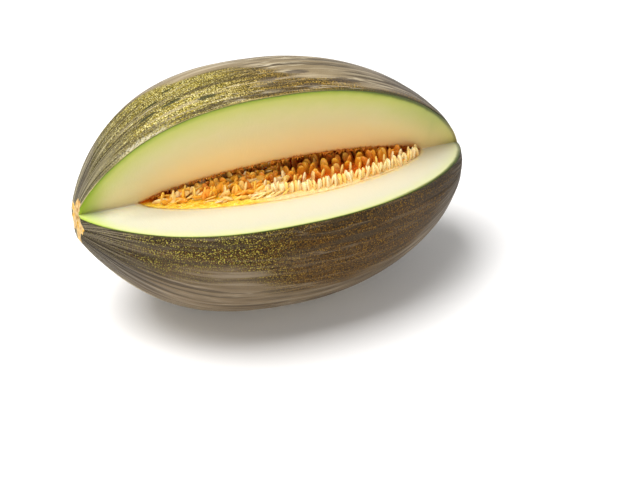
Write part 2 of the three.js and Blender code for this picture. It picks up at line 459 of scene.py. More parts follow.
# %% Bend the grid into the fruit
def grid_from(rows, columns):
    """A flat grid, and for each of its points its place in a row-by-row list."""
    made = bmesh.new()
    bmesh.ops.create_grid(made, x_segments=columns - 1, y_segments=rows - 1, size=1)
    order = [
        round((v.co.y + 1) / 2 * (rows - 1)) * columns + round((v.co.x + 1) / 2 * (columns - 1))
        for v in made.verts
    ]
    return made, order


def give_value(mesh, name, values):
    """Stores one number or vector per point under that name, for a material to read."""
    kind, field = ("FLOAT", "value") if np.ndim(values) == 1 else ("FLOAT_VECTOR", "vector")
    mesh.attributes.new(name, kind, "POINT").data.foreach_set(field, np.ravel(values).astype(np.float32))


skin_sink = near_skin * sink * (1 - scar)
moved_out = all_out - skin_sink * np.cos(direction)
moved_up = all_up - skin_sink * np.sin(direction)
moved_x = all_x - scar_rise
fruit_places = np.stack([moved_x, -moved_out, moved_up, np.ones_like(all_x)], axis=1)
places = (fruit_places @ np.array(whole_fruit).T)[:, :3]
places[:, 2] = np.maximum(places[:, 2], 0)

bm, order = grid_from(len(all_x) // loop_points, loop_points)
order = np.array(order)
for vertex, place in zip(bm.verts, order):
    vertex.co = places[place]
on_rind = np.tile(loop_kind == 1, len(all_x) // loop_points)
on_rind[:disc_rings * loop_points] = True
bm.verts.index_update()
for face in bm.faces:
    face.material_index = 0 if any(on_rind[order[v.index]] for v in face.verts) else 1
    face.smooth = True
body_mesh = bpy.data.meshes.new("melon_rind_and_flesh")
bm.to_mesh(body_mesh)
bm.free()
print(len(body_mesh.polygons), "faces in the bent grid")

# %% Measures for the materials
cut_places = np.stack([all_x, -all_out, all_up]).T @ cut_in_fruit
from_axis = np.hypot(cut_places[:, 1], cut_places[:, 2])
cavity_here = cavity_radius(cut_places[:, 0], np.arctan2(cut_places[:, 2], -cut_places[:, 1]))
past_end = np.maximum(0, np.maximum(cut_places[:, 0] - cavity_end, cavity_start - cut_places[:, 0]))
from_cavity = np.hypot(np.maximum(0, from_axis - cavity_here), past_end)
column = np.tile(np.arange(loop_points), len(all_x) // loop_points)
turned = direction.reshape(-1, loop_points)
section_reach = true_radius.reshape(-1, loop_points)
past_lower_edge = turned[:, [lower_face_rows]] - turned
past_upper_edge = turned - turned[:, [lower_face_rows + len(rind_share) - 1]]
from_upper_edge = (np.mod(past_upper_edge, 2 * math.pi) * section_reach).ravel()
from_lower_edge = (np.mod(past_lower_edge, 2 * math.pi) * section_reach).ravel()
furrow = np.clip(sink / narrowness / 0.0012, 0, 1)
upper_half = smooth_step(lower_face_rows, lower_face_rows + len(rind_share), column)
for name, values in (
    ("depth", depth),
    ("grain", grain),
    ("scar", scar),
    ("pit", pit),
    ("furrow", furrow),
    ("from_cavity", from_cavity),
    ("from_upper_edge", from_upper_edge),
    ("from_lower_edge", from_lower_edge),
    ("upper_half", upper_half),
):
    give_value(body_mesh, name, values[order])
print("values stored for", len(order), "points")

# %% Close the shell
def finished(mesh, name, merge=1e-6):
    """An object of the closed mesh: doubles merged, faces outwards, at the origin."""
    made = bmesh.new()
    made.from_mesh(mesh)
    bmesh.ops.remove_doubles(made, verts=made.verts, dist=merge)
    bmesh.ops.dissolve_degenerate(made, edges=made.edges, dist=merge)
    bmesh.ops.recalc_face_normals(made, faces=made.faces)
    made.to_mesh(mesh)
    loose = sum(1 for edge in made.edges if len(edge.link_faces) != 2)
    faces = sum(len(face.verts) - 2 for face in made.faces)
    made.free()
    mesh.name = name
    thing = bpy.data.objects.new(name, mesh)
    scene.collection.objects.link(thing)
    print(name, faces, "triangles,", loose, "open edges")
    return thing


melon_body = finished(body_mesh, "rind_and_flesh", 2e-6)
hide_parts("melon_body")
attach(melon_body, "root")

# %% [markdown]
# Every finish below is a tree of shader nodes. A few short helpers keep those trees readable:
# one adds a node and joins its inputs, and the others are the nodes and settings used most.

# %% Node helpers
def linear(red, green, blue):
    """A colour given as 0 to 255 on a screen, as the linear numbers a shader works with."""
    shares = (value / 255 for value in (red, green, blue))
    return (*(v / 12.92 if v <= 0.04045 else ((v + 0.055) / 1.055) ** 2.4 for v in shares), 1)


def add(tree, kind, inputs=None, **settings):
    """A new node with these settings, and its inputs set to a value or joined to a socket."""
    made = tree.nodes.new(kind)
    for name, value in settings.items():
        setattr(made, name, value)
    for key, value in (inputs or {}).items():
        if isinstance(value, bpy.types.NodeSocket):
            tree.links.new(value, made.inputs[key])
        else:
            made.inputs[key].default_value = value
    return made


def maths(tree, operation, a, b=0.0):
    """One sum on two numbers."""
    return add(tree, "ShaderNodeMath", {0: a, 1: b}, operation=operation).outputs[0]


def times(tree, first, *others):
    """The product of some numbers."""
    for other in others:
        first = maths(tree, "MULTIPLY", first, other)
    return first


def plus(tree, first, *others):
    """The sum of some numbers."""
    for other in others:
        first = maths(tree, "ADD", first, other)
    return first


def minus(tree, a, b):
    """What is left of a number when another is taken from it."""
    return maths(tree, "SUBTRACT", a, b)


def stepped(tree, value, low, high):
    """0 where the value is at low, 1 at high, and smooth in between; low may be the larger."""
    made = add(
        tree, "ShaderNodeMapRange", {"Value": value, "From Min": low, "From Max": high},
        interpolation_type="SMOOTHSTEP",
    )
    return made.outputs["Result"]


def mixed(tree, share, *colours):
    """One colour going over to another as the share goes from 0 to 1; each is a socket or 0 to 255."""
    a, b = (linear(*colour) if isinstance(colour, tuple) else colour for colour in colours)
    return add(tree, "ShaderNodeMix", {0: share, 6: a, 7: b}, data_type="RGBA").outputs[2]


def stretched(tree, vector, scale):
    """A place multiplied by its own scale along each axis."""
    return add(tree, "ShaderNodeVectorMath", {0: vector, 1: scale}, operation="MULTIPLY").outputs[0]


print("a screen grey of 128 is", round(linear(128, 128, 128)[0], 3), "in linear numbers")


# %% Helpers for patterns
def cloudy(tree, vector, scale, detail, roughness):
    """A smooth noise around 0.5; a scale for each axis draws it out along the smaller ones."""
    if isinstance(scale, tuple):
        vector, scale = stretched(tree, vector, scale), 1.0
    made = add(tree, "ShaderNodeTexNoise", {
        "Vector": vector, "Scale": scale, "Detail": detail, "Roughness": roughness,
    })
    return made.outputs["Fac"]


def wobbling(tree, clouds, amount):
    """A noise turned into a wobble around 0."""
    return times(tree, minus(tree, clouds, 0.5), amount)


def stored(tree, name):
    """A number or place kept on the mesh's points."""
    return add(tree, "ShaderNodeAttribute", attribute_name=name)


def ramped(tree, value, stops):
    """The colour that a list of (position, colour) stops gives for a value."""
    made = add(tree, "ShaderNodeValToRGB", {"Fac": value})
    while len(made.color_ramp.elements) < len(stops):
        made.color_ramp.elements.new(0.5)
    for element, (position, colour) in zip(made.color_ramp.elements, stops):
        element.position = position
        element.color = linear(*colour)
    return made.outputs["Color"]


print("pattern helpers ready")


# %% Helpers for whole materials
def start_material(name, roughness):
    """A material, its node tree and its shader."""
    material, shader = simple_material(name, (0.5, 0.5, 0.5), roughness)
    return material, material.node_tree, shader


def fed(tree, shader, name, socket):
    """Joins a socket to one of the shader's inputs."""
    tree.links.new(socket, shader.inputs[name])


def bumpy(tree, shader, height, distance, strength):
    """Lets a height, in shares of a distance in metres, tilt the surface's shading."""
    made = add(tree, "ShaderNodeBump", {"Height": height, "Distance": distance, "Strength": strength})
    fed(tree, shader, "Normal", made.outputs["Normal"])


def soft_inside(shader, weight, radius, scale):
    """Lets light into the flesh: how much, how far for each colour, and the scale in metres."""
    shader.inputs["Subsurface Weight"].default_value = weight
    shader.inputs["Subsurface Radius"].default_value = radius
    shader.inputs["Subsurface Scale"].default_value = scale


print("material helpers ready")

# %% [markdown]
# The rind is the fruit's most telling surface. Under the light it shows a dark olive skin with
# thousands of tiny pale-yellow corky specks, in bands that run lengthwise. Between the bands
# the skin is smooth and grey-brown with fine lengthwise streaks, and here and there lies a
# dark green spot. Near both ends everything is drawn out into grey lines. Patterns that run
# lengthwise read the stored grain, and specks read the plain place, so that they stay round.

# %% Rind: zones
rind, tree, shader = start_material("rind", 0.5)
place = add(tree, "ShaderNodeTexCoord").outputs["Object"]
along = stored(tree, "grain").outputs["Vector"]
along_parts = add(tree, "ShaderNodeSeparateXYZ", {0: along})
station, outness, _ = along_parts.outputs
furrow_here = stored(tree, "furrow").outputs["Fac"]


def scaled_sum(tree, start, *terms):
    """A number plus each (factor, socket) of the terms."""
    total = start
    for factor, socket in terms:
        total = plus(tree, times(tree, socket, factor), total)
    return total


upper_edge_gap = stored(tree, "from_upper_edge").outputs["Fac"]
lower_edge_gap = stored(tree, "from_lower_edge").outputs["Fac"]
bands = cloudy(tree, along, (7, 46, 46), 4, 0.6)
patches = cloudy(tree, along, (16, 34, 34), 4, 0.65)
upper_reach = scaled_sum(
    tree, 0.004,
    (0.050, stepped(tree, station, -0.12, -0.098)),
    (-0.016, stepped(tree, station, -0.085, -0.05)),
    (-0.028, stepped(tree, station, -0.03, 0.02)),
    (-0.010, stepped(tree, station, 0.035, 0.06)),
)
lower_reach = scaled_sum(
    tree, 0.010,
    (0.032, stepped(tree, station, -0.07, 0.02)),
    (-0.03, stepped(tree, station, 0.06, 0.11)),
)
upper_zone = stepped(tree, minus(tree, upper_edge_gap, upper_reach), 0.010, -0.008)
lower_zone = stepped(tree, minus(tree, lower_edge_gap, lower_reach), 0.030, -0.014)
zone = maths(tree, "MAXIMUM", upper_zone, lower_zone)
cover = stepped(tree, scaled_sum(tree, -1.05, (1.0, zone), (2.1, bands)), 0.15, 0.8)
yellow_left = stepped(tree, station, 0.005, -0.055)
# Share of the rind away from the front band. Colours mixed by it are lighter off the front and darker on
# the front: partly the skin's own zones, partly painted light and shade.
skin_zone_and_lit_side = stepped(tree, outness, 0.055, 0.035)
print("zones:", len(tree.nodes), "nodes")

# %% [markdown]
# Under the specks lies the skin's colour: olive near the stem, brown in the middle, almost
# black-brown low in front, and a mauve grey towards the blossom end. The dark front is partly
# the skin's own tone and partly painted shade, and the mauve end is partly painted sheen. Each
# is a mix of a dark and a light tone over a fine mottle, which gives more life than one flat
# colour would.

# %% Rind: ground colours
grey_top = mixed(tree, patches, (98, 82, 58), (164, 148, 116))
# The front's grey is painted darker than the top's grey: partly painted shade.
front_grey_and_painted_shade = mixed(tree, patches, (76, 62, 44), (128, 110, 84))
grey_brown = mixed(tree, skin_zone_and_lit_side, front_grey_and_painted_shade, grey_top)
mottle = stepped(tree, cloudy(tree, place, 900.0, 2, 0.6), 0.38, 0.62)
olive = mixed(tree, mottle, (62, 56, 12), (146, 130, 44))
brown_top = mixed(tree, mottle, (56, 44, 12), (122, 100, 46))
# The front's ground is near black-brown: partly the skin's own tone, partly painted shade.
front_ground_and_painted_shade = mixed(tree, mottle, (26, 15, 0), (78, 50, 4))
edge_dark = times(tree, stepped(tree, lower_edge_gap, 0.012, 0.001), 0.55)
front_ground_and_painted_shade = mixed(tree, edge_dark, front_ground_and_painted_shade, (30, 24, 10))
ground = mixed(tree, yellow_left, brown_top, olive)
ground = mixed(tree, skin_zone_and_lit_side, front_ground_and_painted_shade, ground)
ground = mixed(tree, cover, grey_brown, ground)
# The mauve grey towards the blossom end is partly the skin's own colour and partly a painted sheen of the
# pale sky, stronger on top.
mauve_end = stepped(tree, station, 0.015, 0.10)
mauve = mixed(tree, patches, (74, 67, 62), (132, 123, 115))
mauve_and_painted_sheen_share = times(tree, mauve_end, scaled_sum(tree, 0.22, (0.6, skin_zone_and_lit_side)))
ground = mixed(tree, mauve_and_painted_sheen_share, ground, mauve)
print("ground:", len(tree.nodes), "nodes")

# %% [markdown]
# The corky specks are about a millimetre apart, far too many to model. Voronoi cells place
# them: each cell's own random colour sets the speck's size and shade, so no two are alike. A
# second, fainter layer stands for the specks that haven't broken through the skin.

# %% Rind: corky specks
speck_cells = add(tree, "ShaderNodeTexVoronoi", {"Vector": place, "Scale": 1020.0, "Randomness": 1.0})
speck_size = add(tree, "ShaderNodeSeparateColor", {0: speck_cells.outputs["Color"]})
speck_edge = plus(tree, times(tree, speck_size.outputs[0], 0.26), 0.2)
specks = stepped(tree, minus(tree, speck_cells.outputs["Distance"], speck_edge), 0.12, -0.06)
speck_cluster = stepped(tree, cloudy(tree, along, (60, 190, 190), 2, 0.5), 0.12, 0.5)
speck_share = times(tree, specks, speck_cluster, cover)
pale_specks = mixed(tree, speck_size.outputs[1], (206, 190, 92), (240, 232, 168))
gold_specks = mixed(tree, speck_size.outputs[1], (150, 108, 36), (196, 164, 76))
# Specks on the front are painted darker than those on top: partly painted shade.
specks_on_front_and_shade = mixed(tree, speck_size.outputs[1], (96, 64, 10), (146, 108, 28))
green_specks = mixed(tree, speck_size.outputs[1], (120, 112, 34), (186, 172, 76))
specks_on_front_and_shade = mixed(tree, yellow_left, specks_on_front_and_shade, green_specks)
speck_colour = mixed(tree, yellow_left, gold_specks, pale_specks)
speck_colour = mixed(tree, skin_zone_and_lit_side, specks_on_front_and_shade, speck_colour)
coloured = mixed(tree, times(tree, speck_share, 0.9), ground, speck_colour)
fine_specks = add(tree, "ShaderNodeTexVoronoi", {"Vector": place, "Scale": 1000.0, "Randomness": 1.0})
faint = stepped(tree, fine_specks.outputs["Distance"], 0.42, 0.12)
# The faint specks are also painted darker on the front: painted shade.
faint_colour = mixed(tree, skin_zone_and_lit_side, (134, 112, 66), (190, 176, 136))
coloured = mixed(tree, times(tree, faint, 0.24), coloured, faint_colour)
print("specks:", len(tree.nodes), "nodes")

# %% [markdown]
# The smooth skin between the bands carries pale and dark streaks and thin wavy lines, where the
# skin wrinkled as the fruit ripened. The pale lines are partly the skin's own and partly painted
# highlights along the wrinkles. A line is where a stretched noise passes one level, so it
# wanders and forks as a wrinkle does. At both ends finer lines draw together.

# %% Rind: streaks and wrinkle lines
streaks = cloudy(tree, along, (13, 240, 240), 3, 0.65)
plain = minus(tree, 0.85, times(tree, cover, scaled_sum(tree, 0.62, (-0.2, skin_zone_and_lit_side))))
pale_share = times(tree, stepped(tree, streaks, 0.54, 0.66), plain)
# Pale streaks are painted darker on the front than on top: painted shade.
pale_streak = mixed(tree, skin_zone_and_lit_side, (128, 114, 94), (180, 166, 140))
coloured = mixed(tree, pale_share, coloured, pale_streak)
dark_share = times(tree, stepped(tree, streaks, 0.48, 0.37), 0.72)
coloured = mixed(tree, dark_share, coloured, (62, 52, 38))
wavy = cloudy(tree, along, (9, 125, 125), 3, 0.6)
comes_and_goes = stepped(tree, cloudy(tree, along, (24, 60, 60), 2, 0.5), 0.38, 0.6)
# Pale lines: partly the skin's own pale wrinkle lines and partly painted highlights along the wrinkles.
pale_and_glint_line = stepped(tree, maths(tree, "ABSOLUTE", minus(tree, wavy, 0.54)), 0.02, 0.002)
dark_line = stepped(tree, maths(tree, "ABSOLUTE", minus(tree, wavy, 0.48)), 0.026, 0.004)
# On top at the blossom end the wrinkle lines show everywhere, as part of the painted sheen there.
shown = maths(tree, "MAXIMUM", comes_and_goes, times(tree, mauve_end, skin_zone_and_lit_side))
pale_and_glint_share = times(tree, pale_and_glint_line, shown, plain)
# The pale lines are painted darker on the front than on top: painted shade.
pale_and_glint_colour = mixed(tree, skin_zone_and_lit_side, (142, 128, 106), (208, 196, 168))
coloured = mixed(tree, pale_and_glint_share, coloured, pale_and_glint_colour)
dark_line_share = times(tree, dark_line, shown, 0.65)
coloured = mixed(tree, dark_line_share, coloured, (54, 44, 32))
near_stem = stepped(tree, station, -0.085, -0.118)
near_blossom = stepped(tree, station, 0.09, 0.128)
near_ends = maths(tree, "MAXIMUM", near_stem, times(tree, near_blossom, 0.5))
drawn = cloudy(tree, along, (18, 400, 400), 3, 0.75)
# The ends' pale lines are painted darker on the front than on top: painted shade.
end_light = mixed(tree, skin_zone_and_lit_side, (150, 138, 116), (204, 194, 156))
end_colour = mixed(tree, stepped(tree, drawn, 0.45, 0.58), (30, 26, 14), end_light)
coloured = mixed(tree, times(tree, near_ends, 0.72), coloured, end_colour)
# Painted shade: the rind is darkened where the mesh's relief sinks deepest.
furrow_painted_shade = times(tree, stepped(tree, furrow_here, 0.7, 1.0), 0.45)
coloured = mixed(tree, furrow_painted_shade, coloured, (48, 40, 30))
print("lines:", len(tree.nodes), "nodes")

# %% [markdown]
# A few long dark spots lie on the side that was in the sun, each about as large as a grain of
# rice or a bean. A noise would put them anywhere, so they are set one by one: each has its
# station, how far out it lies, and its half length.

# %% Rind: dark spots
spot_wobble = wobbling(tree, cloudy(tree, place, 260.0, 3, 0.6), 0.9)
spot_places = (
    (-0.0766, -0.0076, 0.0055), (-0.0665, 0.0028, 0.0070), (-0.0648, -0.0141, 0.0045),
    (-0.0473, 0.0108, 0.0065), (-0.0806, 0.0033, 0.0060), (-0.0081, 0.0065, 0.0080),
    (0.0117, 0.0020, 0.0090), (0.0150, 0.0163, 0.0080), (0.0398, 0.0114, 0.0120),
    (0.0900, 0.0240, 0.0090),
)
spot_slimness = 3.4
for spot_station, spot_out, spot_length in spot_places:
    spot_up = math.sqrt(fruit_radius ** 2 - spot_out ** 2)
    spot_middle = (spot_station, spot_out, spot_up)
    offset = add(tree, "ShaderNodeVectorMath", {0: along, 1: spot_middle}, operation="SUBTRACT")
    shape = (1 / spot_length, spot_slimness / spot_length, spot_slimness / spot_length)
    shaped = stretched(tree, offset.outputs[0], shape)
    reach = add(tree, "ShaderNodeVectorMath", {0: shaped}, operation="LENGTH").outputs["Value"]
    spot_share = stepped(tree, plus(tree, reach, spot_wobble), 1.05, 0.6)
    near_the_stem = spot_station < -0.04
    spot_colour = (42, 46, 24) if near_the_stem else (70, 62, 58)
    spot_strength = 0.85 if near_the_stem else 0.6
    coloured = mixed(tree, times(tree, spot_share, spot_strength), coloured, spot_colour)
print(len(spot_places), "spots:", len(tree.nodes), "nodes")

# %% [markdown]
# Where the knife broke the skin, a thin line shows: tan near the stem and dark green elsewhere.
# Beside it near the stem runs a band of pale cork netting. The mesh stores how far each point
# of the rind is from either cut edge, so both follow the cut without a drawn path. The blossom
# end has one dry dot where the flower was.

# %% Rind: the cut edge and the netted band beside it
band_wobble = times(tree, cloudy(tree, along, (30, 90, 90), 3, 0.6), 0.012)
band_place = times(tree, stepped(tree, station, -0.108, -0.09), stepped(tree, station, -0.066, -0.088))
band_near = stepped(tree, plus(tree, upper_edge_gap, band_wobble), 0.0115, 0.0075)
netting = stepped(tree, cloudy(tree, place, 800.0, 2, 0.6), 0.44, 0.57)
band_share = times(tree, band_place, band_near, plus(tree, netting, 0.12))
coloured = mixed(tree, maths(tree, "MINIMUM", band_share, 0.75), coloured, (196, 190, 164))
blossom_side = stepped(tree, station, -0.03, 0.05)
edge_line = stepped(tree, scaled_sum(tree, upper_edge_gap, (-0.0012, blossom_side)), 0.0008, 0.0003)
edge_colour = mixed(tree, blossom_side, (150, 136, 84), (54, 60, 24))
coloured = mixed(tree, times(tree, edge_line, 0.7), coloured, edge_colour)
green_line = stepped(tree, lower_edge_gap, 0.001, 0.0002)
coloured = mixed(tree, times(tree, green_line, 0.7), coloured, (52, 66, 20))
blossom_dot = stepped(tree, scaled_sum(tree, station, (0.0003, patches)), 0.1297, 0.1299)
coloured = mixed(tree, times(tree, blossom_dot, 0.85), coloured, (150, 122, 82))
print("cut edges:", len(tree.nodes), "nodes")

# %% [markdown]
# The scar is dry cork, from brown through cream to orange. Its outline was stored with the
# mesh's relief, so colour and crumpled shape end at the same ragged line.

# %% Rind: the corky scar
scar_here = stored(tree, "scar").outputs["Fac"]
pit_here = stored(tree, "pit").outputs["Fac"]
cork_clouds = cloudy(tree, place, 190.0, 4, 0.6)
cork = ramped(tree, cork_clouds, [
    (0.3, (150, 96, 44)),
    (0.42, (214, 170, 104)),
    (0.52, (236, 206, 150)),
    (0.62, (238, 186, 70)),
    (0.74, (226, 150, 40)),
])
cork = mixed(tree, stepped(tree, pit_here, 0.35, 0.75), cork, (44, 30, 16))
scar_edge = plus(tree, scar_here, wobbling(tree, cork_clouds, 0.8))
scar_share = stepped(tree, scar_edge, 0.35, 0.6)
fed(tree, shader, "Base Color", mixed(tree, scar_share, coloured, cork))
print("scar:", len(tree.nodes), "nodes")

# %% [markdown]
# The skin has a dull wax gloss, duller where it is corky. The mesh carries the ribs and large
# wrinkles; what is finer than its faces is left to a small bump.

# %% Rind: gloss and relief
skin_noise = cloudy(tree, place, 1400.0, 2, 0.6)
dull = scaled_sum(tree, 0.0, (0.2, cover), (0.3, scar_share))
gloss = plus(tree, dull, 0.36, times(tree, skin_noise, 0.16))
fed(tree, shader, "Roughness", gloss)
height = scaled_sum(
    tree, 0.0, (0.35, speck_share), (0.18, skin_noise), (0.9, streaks), (1.2, wavy),
    (1.6, times(tree, drawn, near_ends)),
)
bumpy(tree, shader, height, 0.0007, 0.8)
shader.inputs["Specular IOR Level"].default_value = 0.14
print("rind has", len(tree.nodes), "nodes")

# %% [markdown]
# The flesh changes colour with its depth below the rind: a dark green skin line, a saturated
# green rim, pale yellow-green, cream, and a warm peach towards the cavity, where the orange
# pulp has stained it. On the upper face, which lies in shade, the colours are darker and warmer:
# painted shade on top of the flesh's own tints. The depth is stored on the mesh, so the rim stays
# even right along the cut and widens by itself at the stem, where the knife runs close under the
# rind.

# %% Flesh
flesh, tree, shader = start_material("flesh", 0.32)
place = add(tree, "ShaderNodeTexCoord").outputs["Object"]
depth_here = stored(tree, "depth").outputs["Fac"]
cavity_gap = stored(tree, "from_cavity").outputs["Fac"]
upper_here = stored(tree, "upper_half").outputs["Fac"]
wobble = wobbling(tree, cloudy(tree, place, 110.0, 3, 0.6), 0.5)
wobbled_depth = times(tree, depth_here, plus(tree, wobble, 1.0))
depth_share = maths(tree, "POWER", maths(tree, "DIVIDE", wobbled_depth, 0.06), 0.5)
# Painted shade: the upper face's colours are darker and warmer than the lower face's, since the upper face
# lies in shade.
upper_face_flesh_and_shade = ramped(tree, depth_share, [
    (0.0, (34, 46, 8)),
    (0.095, (52, 70, 14)),
    (0.13, (104, 130, 26)),
    (0.2, (150, 164, 62)),
    (0.3, (180, 184, 98)),
    (0.45, (192, 190, 126)),
    (0.62, (204, 194, 146)),
    (0.85, (210, 194, 150)),
])
lower_flesh = ramped(tree, depth_share, [
    (0.0, (34, 46, 8)),
    (0.09, (56, 74, 18)),
    (0.12, (128, 148, 60)),
    (0.16, (182, 190, 126)),
    (0.22, (200, 204, 158)),
    (0.42, (199, 198, 178)),
    (1.0, (200, 197, 182)),
])
by_depth = mixed(tree, upper_here, lower_flesh, upper_face_flesh_and_shade)
station = add(tree, "ShaderNodeSeparateXYZ", {0: stored(tree, "grain").outputs["Vector"]}).outputs[0]
stem_green = times(tree, stepped(tree, station, -0.104, -0.122), 0.65)
stem_colour = mixed(tree, upper_here, (180, 200, 84), (126, 150, 30))
by_depth = mixed(tree, stem_green, by_depth, stem_colour)
khaki_end = times(tree, stepped(tree, station, 0.06, 0.115), upper_here, 0.7)
by_depth = mixed(tree, khaki_end, by_depth, (160, 164, 96))
dark_rim = times(tree, stepped(tree, station, 0.02, 0.09), stepped(tree, depth_share, 0.24, 0.15), 0.85)
by_depth = mixed(tree, dark_rim, by_depth, (50, 62, 18))
print("flesh by depth:", len(tree.nodes), "nodes")

# %% [markdown]
# Near the cavity the flesh is warmer, and its rim on the upper face carries a thin ragged
# brown-orange line: partly the pulp's juice stain, partly painted shadow under the torn rim. In
# the crease at the stem the lower face is painted palest, as painted light that lifts the shade
# there. Three stored distances carry all this: from the cavity, along the fruit, and which face a
# point lies on.

# %% Flesh: peach, painted crease light and stain
# The upper face's peach is warmer than the lower face's: pulp stain plus painted warm shade.
peach = mixed(tree, upper_here, (212, 204, 180), (244, 214, 150))
past_stem = scaled_sum(tree, 0.3, (0.5, stepped(tree, station, -0.09, -0.04)))
peach_share = times(tree, stepped(tree, cavity_gap, 0.034, 0.002), past_stem)
flesh_colour = mixed(tree, peach_share, by_depth, peach)
sideways = add(tree, "ShaderNodeSeparateXYZ", {0: place}).outputs[1]
# Painted light: the lower face is painted paler in the crease at the stem, lifting the shade that the
# upper part casts there.
painted_crease_light = times(
    tree, stepped(tree, sideways, -0.026, -0.006), stepped(tree, station, -0.04, -0.075),
    stepped(tree, station, -0.114, -0.098), minus(tree, 1.0, upper_here),
)
flesh_colour = mixed(tree, painted_crease_light, flesh_colour, (244, 242, 218))
stain_noise = times(tree, cloudy(tree, place, (520, 160, 160), 4, 0.7), 0.007)
stain_gap = plus(tree, cavity_gap, minus(tree, stain_noise, 0.0035))
soft_stain = mixed(tree, upper_here, (246, 218, 140), (250, 204, 120))
soft_stain_share = times(tree, stepped(tree, stain_gap, 0.005, 0.0), 0.75)
flesh_colour = mixed(tree, soft_stain_share, flesh_colour, soft_stain)
# A thin brown-orange line on the upper face at the cavity's rim: partly pulp stain, partly painted shadow
# under the torn rim.
rim_stain_and_shadow_line = times(tree, stepped(tree, stain_gap, 0.0016, -0.0002), upper_here, 0.85)
flesh_colour = mixed(tree, rim_stain_and_shadow_line, flesh_colour, (206, 112, 30))
inner_wall = stepped(tree, cavity_gap, 0.0003, 0.0)
flesh_colour = mixed(tree, inner_wall, flesh_colour, (244, 140, 30))
fed(tree, shader, "Base Color", flesh_colour)
wetness = cloudy(tree, place, 240.0, 3, 0.6)
fed(tree, shader, "Roughness", plus(tree, times(tree, wetness, 0.25), 0.22))
soft_inside(shader, 0.5, (1.0, 0.8, 0.45), 0.010)
fibres = cloudy(tree, place, (700, 260, 260), 3, 0.6)
bumpy(tree, shader, fibres, 0.0003, 0.35)
print("flesh has", len(tree.nodes), "nodes")

# %% Give the body its finishes
melon_body.data.materials.append(rind)
melon_body.data.materials.append(flesh)
print("body finishes", [m.name for m in melon_body.data.materials])

# %% [markdown]
# The seed cavity is full of soft wet pulp. In front of the seeds it lies level with the cut
# flesh, cut by the same knife. Behind the line where the two cuts meet it has sagged into a
# hollow. It is one closed mesh, bent from a grid as the fruit was: columns run from the front
# rim back to the hollow, up its wall, and round behind along the cavity.

# %% Pulp: sections
pulp_stations = 300
pulp_gap = 0.0001
band_rows, floor_rows, wall_rows, roof_rows, back_rows = 70, 26, 24, 16, 40


def over_lower_face(distance, height):
    """(out, up) at a distance from the apex line along the lower face and a height above it."""
    cosine, sine = math.cos(lower_face_angle), math.sin(lower_face_angle)
    return apex_out + distance * cosine - height * sine, apex_up + distance * sine + height * cosine


fine = np.linspace(cavity_start, cavity_end, 4001)
open_fine = (rim_distance(fine, lower_face_angle) > 0) & (rim_distance(fine, upper_face_angle) > 0)
pulp_start, pulp_end = fine[open_fine][0], fine[open_fine][-1]
bend = (1 - np.cos(np.linspace(0, math.pi, pulp_stations))) / 2
pulp_x = pulp_start + (pulp_end - pulp_start) * (0.5 * bend + 0.5 * np.linspace(0, 1, pulp_stations))
rim = rim_distance(pulp_x, lower_face_angle)
print("pulp shows from", round(1000 * pulp_start), "to", round(1000 * pulp_end), "mm")


def straight(start, end, rows):
    """Rows of (distance, height) from one corner to the next, without the last."""
    return np.linspace(start, end, rows + 1)[:-1]


def pulp_section(x, rim_here):
    """(out, up) of the points round one section of the pulp, which is fuller on the stem side."""
    fuller = float(smooth_step(-0.02, -0.05, x))
    foot = (-0.010 + 0.003 * fuller, -0.001 + 0.005 * fuller)
    shoulder = (-0.014 + 0.004 * fuller, 0.009)
    corners = np.concatenate([
        straight((rim_here, 0), (0, 0), band_rows),
        straight((0, 0), foot, floor_rows),
        straight(foot, shoulder, wall_rows),
        straight(shoulder, (shoulder[0], 0.026), roof_rows),
    ])
    out, up = over_lower_face(corners[:, 0], corners[:, 1])
    angle = np.arctan2(up, out)
    limit = cavity_radius(x, angle) - pulp_gap
    scale = np.minimum(1, np.maximum(limit, 0.001) / np.hypot(out, up))
    first = math.atan2(up[-1], out[-1])
    turn = np.linspace(first, angle[0] + 2 * math.pi, back_rows + 2)[1:]
    behind = np.maximum(cavity_radius(x, turn) - pulp_gap, 0.001)
    return (np.concatenate([out * scale, behind * np.cos(turn)]),
            np.concatenate([up * scale, behind * np.sin(turn)]))


sections = [pulp_section(x, r) for x, r in zip(pulp_x, rim)]
pulp_columns = len(sections[0][0])
pulp_out = np.stack([section[0] for section in sections])
pulp_up = np.stack([section[1] for section in sections])
print(pulp_columns, "points round each section")

# %% Pulp: lumps and strands
front_columns = band_rows + floor_rows + wall_rows + roof_rows
cosine, sine = math.cos(lower_face_angle), math.sin(lower_face_angle)
pulp_across = (pulp_out - apex_out) * cosine + (pulp_up - apex_up) * sine
station_grid = np.repeat(pulp_x[:, None], pulp_columns, axis=1)
flat_places = np.stack([station_grid, -pulp_out, pulp_up], axis=2).reshape(-1, 3)
lumps = noise_of(flat_places, (300, 420, 420), 2.2).reshape(pulp_out.shape)
strand_noise = noise_of(flat_places, (110, 700, 700), 9.4).reshape(pulp_out.shape)
fine_lumps = noise_of(flat_places, (800, 900, 900), 4.1).reshape(pulp_out.shape)
go_out = np.gradient(pulp_out, axis=1)
go_up = np.gradient(pulp_up, axis=1)
length = np.maximum(np.hypot(go_out, go_up), 1e-9)
normal_out, normal_up = go_up / length, -go_out / length
teeth_share = np.interp(pulp_x, [cavity_start, -0.02, 0.02, cavity_end], [0.5, 0.5, 0.8, 0.9])[:, None]
past_teeth = (pulp_across / np.maximum(rim, 1e-6)[:, None] - teeth_share) / (1 - teeth_share)
loose_pulp = smooth_step(0.75, 0.1, past_teeth)
left_part = smooth_step(-0.004, -0.028, pulp_x)[:, None]
wet_band = np.maximum(loose_pulp, left_part * smooth_step(1.0, 0.82, past_teeth))
open_side = np.arange(pulp_columns)[None, :] < front_columns
